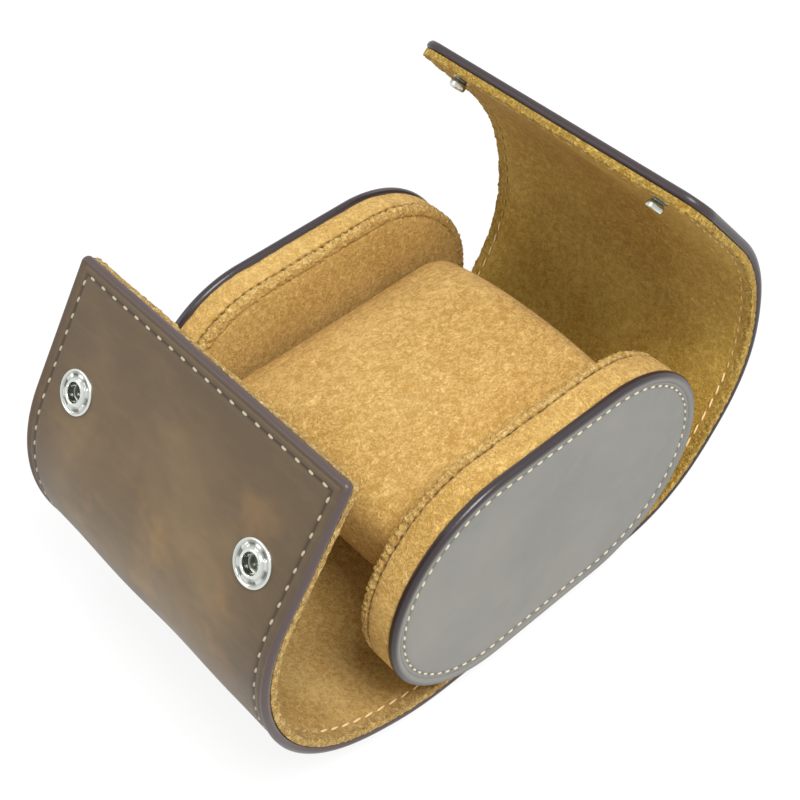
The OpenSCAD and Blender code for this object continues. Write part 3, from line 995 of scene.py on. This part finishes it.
def pad_edge_distance(points):
    """Distance of points inside the padded ends' outline."""
    pad = settings().pad
    y = np.maximum(np.abs(points[:, 1]) - pad.straight / 2, 0)
    return pad.height / 2 - np.hypot(y, points[:, 2] - pad_centre().z)


def pad_gusset(side):
    """Suede band round the end, from under the leather's rim to the seam."""
    profile = in_mm([(2.3, 3.4), (2.3, 1.6), (2.55, 0.95), (3.1, 0.6), (4.0, 0.42), (5.2, 0.34),
                     (6.4, 0.3), (7.6, 0.3), (8.6, 0.36), (9.0, 0.55), (9.15, 1.0), (9.15, 3.4)])
    piece = pad_ring(f"{SIDE_NAMES[side]}_gusset", side, profile + profile[:1], 360)
    apply(piece, "SUBSURF", levels=1, render_levels=1)
    roughen(piece, 0.07 * MM, 0.8 * MM, 3 + side)
    roughen(piece, 0.1 * MM, 5 * MM, 31 + side)
    mark_seam_shade(piece)
    smooth(piece, 80)
    return piece


def outline_place(points):
    """Distance of points along the padded ends' outline, from the nearest start of an arc or straight."""
    pad = settings().pad
    past = np.abs(points[:, 1]) - pad.straight / 2
    turned = np.arctan2(past, points[:, 2] - pad_centre().z)
    return np.where(past > 0, turned * pad.height / 2, points[:, 1])


def gather(piece, depth, pitch):
    """Draws a piece in along its outline in small uneven gathers."""
    points = places(piece)
    wander = soft_noise(points, 6 * MM, 77) * 0.9
    fold = np.sin(2 * math.pi * outline_place(points) / pitch + wander)
    outer = clamp(1.5 - pad_edge_distance(points) / (2 * MM))[:, None]
    reach = settings().pad.straight / 2
    inward = np.array([0, 0, pad_centre().z]) - points
    inward[:, 0] = 0
    inward[:, 1] += np.clip(points[:, 1], -reach, reach)
    inward /= np.linalg.norm(inward, axis=1, keepdims=True)
    place(piece, points + inward * outer * depth * (0.5 + 0.5 * fold[:, None]))


def mark_seam_shade(piece):
    """Paints shade into the seam between band and welt, in dashes, one for each of its stitches."""
    points = places(piece)
    off = settings().pad.span / 2 - np.abs(points[:, 0]) - PAD_SEAM
    dashes = 0.58 + 0.42 * np.cos(2 * math.pi * outline_place(points) / (2.4 * MM))
    mark(piece, "seam", bell(off, 0.3 * MM) * dashes)


def pad_welt(side):
    """Rough edge of suede, gathered along the seam."""
    profile = in_mm([(9.15, 3.2), (9.15, 1.0), (9.3, 0.5), (9.8, 0.3), (10.5, 0.3), (11.1, 0.5),
                     (11.5, 0.95), (11.65, 1.6), (11.6, 2.4), (11.3, 3.2)])
    piece = pad_ring(f"{SIDE_NAMES[side]}_welt", side, profile + profile[:1], 360)
    apply(piece, "SUBSURF", levels=1, render_levels=1)
    gather(piece, 0.3 * MM, 1.9 * MM)
    roughen(piece, 0.14 * MM, 1.4 * MM, 11 + side)
    roughen(piece, 0.14 * MM, 0.62 * MM, 51 + side)
    mark(piece, "edge", np.clip(1.3 - pad_edge_distance(places(piece)) / (1.6 * MM), 0, 0.7))
    mark_seam_shade(piece)
    smooth(piece, 80)
    return piece


def pad_panel(side):
    """Suede panel on the inner side, drawn in at its seam."""
    centre = settings().pad.height / 2
    profile = [(9.9 * MM, centre), (9.9 * MM, 2.9 * MM), (10.9 * MM, 2.3 * MM), (11.35 * MM, 2.9 * MM)]
    profile += [(11.6 * MM, 4.2 * MM), (11.75 * MM, 7 * MM), (11.85 * MM, 12 * MM), (11.9 * MM, centre)]
    piece = pad_ring(f"{SIDE_NAMES[side]}_panel", side, profile, 192)
    smooth(piece, 50)
    return piece


def pad_stitches(side):
    """Stitches in the channel of the leather face."""
    pad = settings().pad
    radius = pad.height / 2 - pad.stitch_inset
    x = side * (pad.span / 2 - 0.66 * MM)
    reach = pad.straight / 2
    rows = []
    for end in (-1, 1):
        row = stitch_row((-reach, 0, 0), (reach, 0, 0), side, settings().stitch.face_pitch, FACE_SEAM)
        row.data.transform(Matrix.Translation((x, 0, pad_centre().z + end * radius)) @ ONTO_FACE)
        rows += [row, stitch_arc(Vector((x, end * reach, pad_centre().z)), radius, -end, side)]
    row = join(f"{SIDE_NAMES[side]}_stitches", rows)
    smooth(row, 80)
    return row


def stitch_arc(centre, radius, way, face):
    """Stitches round one end of a padded end's face, from its top to its bottom."""
    pitch = settings().stitch.face_pitch
    count = round(math.pi * radius / pitch)
    step = way * math.pi / count
    row = stitch_row((-0.1 * MM, 0, 0), (0.1 * MM, 0, 0), face, pitch, FACE_SEAM)
    row.data.transform(Matrix.Translation(centre) @ Matrix.Rotation(step / 2, 4, "X")
                       @ Matrix.Translation((0, 0, radius)) @ ONTO_FACE)
    pick(row)
    mode("EDIT")
    bpy.ops.mesh.select_all(action="SELECT")
    bpy.ops.mesh.spin(steps=count - 1, dupli=True, angle=-step * (count - 1), center=centre, axis=(1, 0, 0))
    mode("OBJECT")
    return row


PAD_SEAM = 9.15 * MM
ONTO_FACE = Matrix(((0, 0, 1, 0), (1, 0, 0, 0), (0, 1, 0, 0), (0, 0, 0, 1)))
SIDE_NAMES = {-1: "left", 1: "right"}


class WATCHCASE_OT_padded_ends(bpy.types.Operator):
    """Makes both padded ends with their leather face, suede band, welt, panel and stitches"""

    bl_idname = "watch_case.padded_ends"
    bl_label = "Padded Ends"

    def execute(self, context):
        tint = settings().finish
        # The face leather's grey colours paint in the floor's reflection.
        leather = leather_finish(
            "face_leather", tint.face, tint.face_worn, tint.face_worn, tint.face_edge, 0.45)
        suede = suede_finish("suede_band")
        thread = bpy.data.materials["waxed_thread"]
        for side, name in SIDE_NAMES.items():
            pieces = [
                (pad_face(side), "leather", leather, ("face", "board")),
                (pad_gusset(side), "suede", suede, ("gusset",)),
                (pad_welt(side), "suede", suede, ("welt",)),
                (pad_panel(side), "suede", suede, ("panel", "foam")),
                (pad_stitches(side), "suede", thread, ()),
            ]
            for piece, slot, material, parts in pieces:
                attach(dress(piece, material), "base")
                if parts:
                    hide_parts(*[f"{name}_pad_{part}" for part in parts])
        return {"FINISHED"}


# --- Cushion ---


class WATCHCASE_OT_cushion(bpy.types.Operator):
    """Makes the stuffed suede cushion, swollen by its filling"""

    bl_idname = "watch_case.cushion"
    bl_label = "Cushion"

    def execute(self, context):
        values = settings().cushion
        low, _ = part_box("cushion_underside")
        _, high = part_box("cushion_cover")
        centre, span = (low + high) / 2, high - low
        deselect()
        bpy.ops.mesh.primitive_cube_add(
            size=1, location=centre, scale=[s - 2 * values.inset for s in span])
        piece = bpy.context.object
        piece.name = "cushion"
        settle()
        mode("EDIT")
        select("edges", lambda p: at(p, 1, p[0].y) and at(p, 2, p[0].z) and p[0].z > centre.z)
        bpy.ops.mesh.bevel(offset=values.edge_r, segments=8, affect="EDGES")
        select("edges", lambda p: at(p, 1, p[0].y) and at(p, 2, low.z + values.inset))
        bpy.ops.mesh.bevel(offset=values.foot_r, segments=4, affect="EDGES")
        mode("OBJECT")
        apply(piece, "REMESH", mode="VOXEL", voxel_size=values.voxel)
        apply(piece, "SMOOTH", factor=0.5, iterations=3)
        self.crown(piece, centre, span)
        self.swell(piece, values)
        apply(piece, "SUBSURF", levels=1, render_levels=1)
        self.fit(piece, low, high)
        smooth(piece, 80)
        # The cushion's suede is dimmed a little as painted shade.
        dress(piece, suede_finish("suede_cushion", stretch=(1, 0.7, 1), shade=(0.94, 0.93, 0.95)))
        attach(piece, "cushion")
        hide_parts("cushion_cover", "cushion_core", "cushion_underside")
        return {"FINISHED"}

    def crown(self, piece, centre, span):
        """Lowers the top towards both ends, as a crown along the cushion."""
        points = places(piece)
        share = (points[:, 0] - centre.x) / (span.x / 2)
        rise = clamp((points[:, 2] - centre.z) / (span.z / 2))
        points[:, 2] -= rise * settings().cushion.crown * np.abs(share) ** 2.2
        place(piece, points)

    def swell(self, piece, values):
        """Cloth under pressure, with a cap on how far a point may move."""
        before = places(piece)
        pick(piece)
        cloth = piece.modifiers.new("CLOTH", "CLOTH")
        cloth.settings.use_pressure = True
        cloth.settings.uniform_pressure_force = values.pressure
        cloth.settings.effector_weights.gravity = 0
        cloth.settings.quality = 6
        for number in range(1, 21):
            bpy.context.scene.frame_set(number)
        bpy.ops.object.modifier_apply(modifier=cloth.name)
        moved = places(piece) - before
        reach = np.linalg.norm(moved, axis=1, keepdims=True)
        place(piece, before + moved * np.minimum(1, values.swell / np.maximum(reach, 1e-9)))
        bpy.context.scene.frame_set(1)

    def fit(self, piece, low, high):
        """Keeps every point inside the cushion's space between the padded ends."""
        points = places(piece)
        place(piece, np.clip(points, np.array(low) + 0.05 * MM, np.array(high) - 0.05 * MM))


# --- Snaps ---


def socket():
    """Pressed socket facing +Z at the origin, with a rolled rim, petal dimples and a raised ring."""
    profile = in_mm([(5.2, -0.3), (5.2, 0.25), (5.1, 0.52), (4.9, 0.66), (4.68, 0.62), (4.52, 0.42),
                     (4.4, 0.3), (4.2, 0.26), (4.0, 0.26), (3.8, 0.29), (3.6, 0.35), (3.4, 0.45),
                     (3.2, 0.62), (3.0, 0.86), (2.82, 1.02), (2.62, 1.1), (2.42, 1.06), (2.3, 0.88),
                     (2.22, 0.55), (2.18, 0.1), (2.15, -0.4), (2.12, -0.8), (1.7, -0.98), (1.2, -1.02),
                     (0.6, -0.92), (0, -0.9)])
    points = [(radius, 0, height) for radius, height in profile]
    piece = lathe("snap_socket", points, (0, 0, 0), (0, 0, 1), 96)
    points = places(piece)
    radius = np.hypot(points[:, 0], points[:, 1])
    turn = np.arctan2(points[:, 1], points[:, 0])
    petal = clamp(0.4 + np.cos(SOCKET_PETALS * turn)) ** 0.7
    petal *= bell(radius - 3.85 * MM, 0.5 * MM)
    points[:, 2] += petal * 0.38 * MM
    place(piece, points)
    # Painted shade and dark reflection in the low floor between rim and raised ring, less on the petals,
    # and in the bowl.
    ring = bell(radius - 3.9 * MM, 0.6 * MM)
    bowl = clamp((2.16 * MM - radius) / (0.5 * MM)) + 0.5 * (radius < 2.25 * MM)
    mark(piece, "sunk", clamp(0.95 * ring * (1 - 0.95 * petal) + bowl))
    smooth(piece, 60)
    return piece


def stud():
    """Stud facing +Z at the origin, with a flange, a neck and a hollow-topped head."""
    profile = in_mm([(2.3, -0.3), (2.3, 0.0), (2.2, 0.12), (2.0, 0.18), (1.8, 0.16), (1.66, 0.25),
                     (1.62, 0.5), (1.75, 0.72), (1.96, 0.88), (2.08, 1.1), (2.1, 1.4), (2.1, 1.9),
                     (2.04, 2.25), (1.9, 2.48), (1.65, 2.6), (1.42, 2.54), (1.25, 2.2), (1.2, 1.8),
                     (0, 1.7)])
    points = [(radius, 0, height) for radius, height in profile]
    piece = lathe("snap_stud", points, (0, 0, 0), (0, 0, 1), 64)
    points = places(piece)
    radius = np.hypot(points[:, 0], points[:, 1])
    # Painted shade and dark reflection on the flange and neck under the head, round the head's lower sides,
    # and in its hollow top.
    neck = 0.95 * clamp(1.6 - points[:, 2] / (0.7 * MM))
    neck += 0.6 * bell(points[:, 2] - 1.55 * MM, 0.45 * MM) * (radius > 1.9 * MM)
    mark(piece, "sunk", clamp(neck + clamp((1.5 * MM - radius) / (0.25 * MM))))
    smooth(piece, 60)
    return piece


class WATCHCASE_OT_snaps(bpy.types.Operator):
    """Presses both sockets and gives all the snaps their bright plate"""

    bl_idname = "watch_case.snaps"
    bl_label = "Snap Fasteners"

    def execute(self, context):
        nickel = nickel_finish()
        half = settings().wrap.thickness / 2
        turned = Matrix.Rotation(math.pi, 4, "Y")
        rows = [
            ("sockets", socket, FRONT, SOCKET_INSET, Matrix(), ("snap_sockets", "snap_springs")),
            ("studs", stud, BACK, STUD_INSET, turned, ("snap_studs",)),
        ]
        for name, make, flap, inset, facing, nodes in rows:
            height = half if flap is FRONT else -half
            pair = []
            for side in SIDE_NAMES:
                piece = make()
                piece.data.transform(flap.stand(flap.length() - inset, side * SNAP_X, height) @ facing)
                pair.append(piece)
            pieces = dress(join(name, pair), nickel)
            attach(pieces, flap.bodies[-1])
            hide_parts(*nodes)
        for name in ("socket_eyelets", "stud_posts"):
            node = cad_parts[name]
            node.data.materials.clear()
            node.data.materials.append(nickel)
        return {"FINISHED"}


# --- Stage ---


class WATCHCASE_OT_stage(bpy.types.Operator):
    """Sets the white floor, soft light and the camera"""

    bl_idname = "watch_case.stage"
    bl_label = "Stage"

    def execute(self, context):
        self.floor()
        self.light()
        self.camera(context)
        context.scene.view_settings.view_transform = "Standard"
        return {"FINISHED"}

    def floor(self):
        deselect()
        bpy.ops.mesh.primitive_circle_add(
            vertices=96, radius=settings().stage.floor_r, fill_type="NGON", location=(0, 0, -0.2 * MM))
        floor = bpy.context.object
        floor.name = "floor"
        settle()
        floor.data.materials.append(floor_finish())

    def light(self):
        """A bright room that looks white to the camera and in gloss, and three soft lamps."""
        world = bpy.data.worlds.new("studio")
        world.use_nodes = True
        nodes, links = world.node_tree.nodes, world.node_tree.links
        path = nodes.new("ShaderNodeLightPath")
        seen = nodes.new("ShaderNodeMath")
        seen.operation = "ADD"
        strength = nodes.new("ShaderNodeMapRange")
        strength.inputs["To Min"].default_value = ROOM_LIGHT
        strength.inputs["To Max"].default_value = 1.0
        links.new(path.outputs["Is Camera Ray"], seen.inputs[0])
        links.new(path.outputs["Is Glossy Ray"], seen.inputs[1])
        links.new(seen.outputs[0], strength.inputs["Value"])
        links.new(strength.outputs[0], nodes["Background"].inputs["Strength"])
        nodes["Background"].inputs["Color"].default_value = (1, 1, 1, 1)
        bpy.context.scene.world = world
        lamps = [
            ("key", (0.42, -0.05, 0.95), 0.45, 9.0),
            ("fill", (-0.5, -0.6, 0.7), 0.6, 1.8),
            ("rear", (-0.2, 0.9, 0.5), 0.5, 1.0),
        ]
        for name, where, span, power in lamps:
            bpy.ops.object.light_add(type="AREA", location=where)
            lamp = bpy.context.object
            lamp.name = name
            lamp.data.shape = "DISK"
            lamp.data.size = span
            lamp.data.energy = power
            aim = Vector((0, 0, 0.04)) - Vector(where)
            lamp.rotation_euler = aim.to_track_quat("-Z", "Y").to_euler()

    def camera(self, context):
        stage = settings().stage
        back = Vector((
            math.sin(stage.azimuth) * math.cos(stage.elevation),
            -math.cos(stage.azimuth) * math.cos(stage.elevation),
            math.sin(stage.elevation)))
        right = Vector((math.cos(stage.azimuth), math.sin(stage.azimuth), 0))
        up = back.cross(right)
        turned = Matrix.Rotation(stage.roll, 3, back)
        axes = Matrix([turned @ right, turned @ up, back]).transposed()
        data = bpy.data.cameras.new("view")
        data.lens = stage.lens
        data.sensor_width = 36
        camera = bpy.data.objects.new("view", data)
        camera.matrix_world = Matrix.Translation(stage.place) @ axes.to_4x4()
        context.scene.collection.objects.link(camera)
        context.scene.camera = camera


# --- Add-on ---


OPERATORS = (
    WATCHCASE_OT_leather,
    WATCHCASE_OT_lining,
    WATCHCASE_OT_stitches,
    WATCHCASE_OT_padded_ends,
    WATCHCASE_OT_cushion,
    WATCHCASE_OT_snaps,
    WATCHCASE_OT_stage,
)


class WATCHCASE_PT_panel(bpy.types.Panel):
    """Lists the steps that build the case"""

    bl_label = "Watch Travel Case"
    bl_idname = "WATCHCASE_PT_panel"
    bl_space_type = "VIEW_3D"
    bl_region_type = "UI"
    bl_category = "Watch Case"

    def draw(self, context):
        for operator in OPERATORS:
            self.layout.operator(operator.bl_idname)
        for name, group in SETTINGS.items():
            box = self.layout.box()
            box.label(text=name.title())
            for value in group.__annotations__:
                box.prop(getattr(context.scene.watch_case, name), value)


CLASSES = (*SETTINGS.values(), WatchCaseSettings, *OPERATORS, WATCHCASE_PT_panel)


def register():
    for cls in CLASSES:
        bpy.utils.register_class(cls)
    bpy.types.Scene.watch_case = bpy.props.PointerProperty(type=WatchCaseSettings)


def unregister():
    del bpy.types.Scene.watch_case
    for cls in reversed(CLASSES):
        bpy.utils.unregister_class(cls)


def main():
    register()
    for operator in OPERATORS:
        group, name = operator.bl_idname.split(".")
        getattr(getattr(bpy.ops, group), name)()
    for flap in FLAPS:
        bpy.data.objects.remove(path_of(flap))


if __name__ == "__main__":
    main()
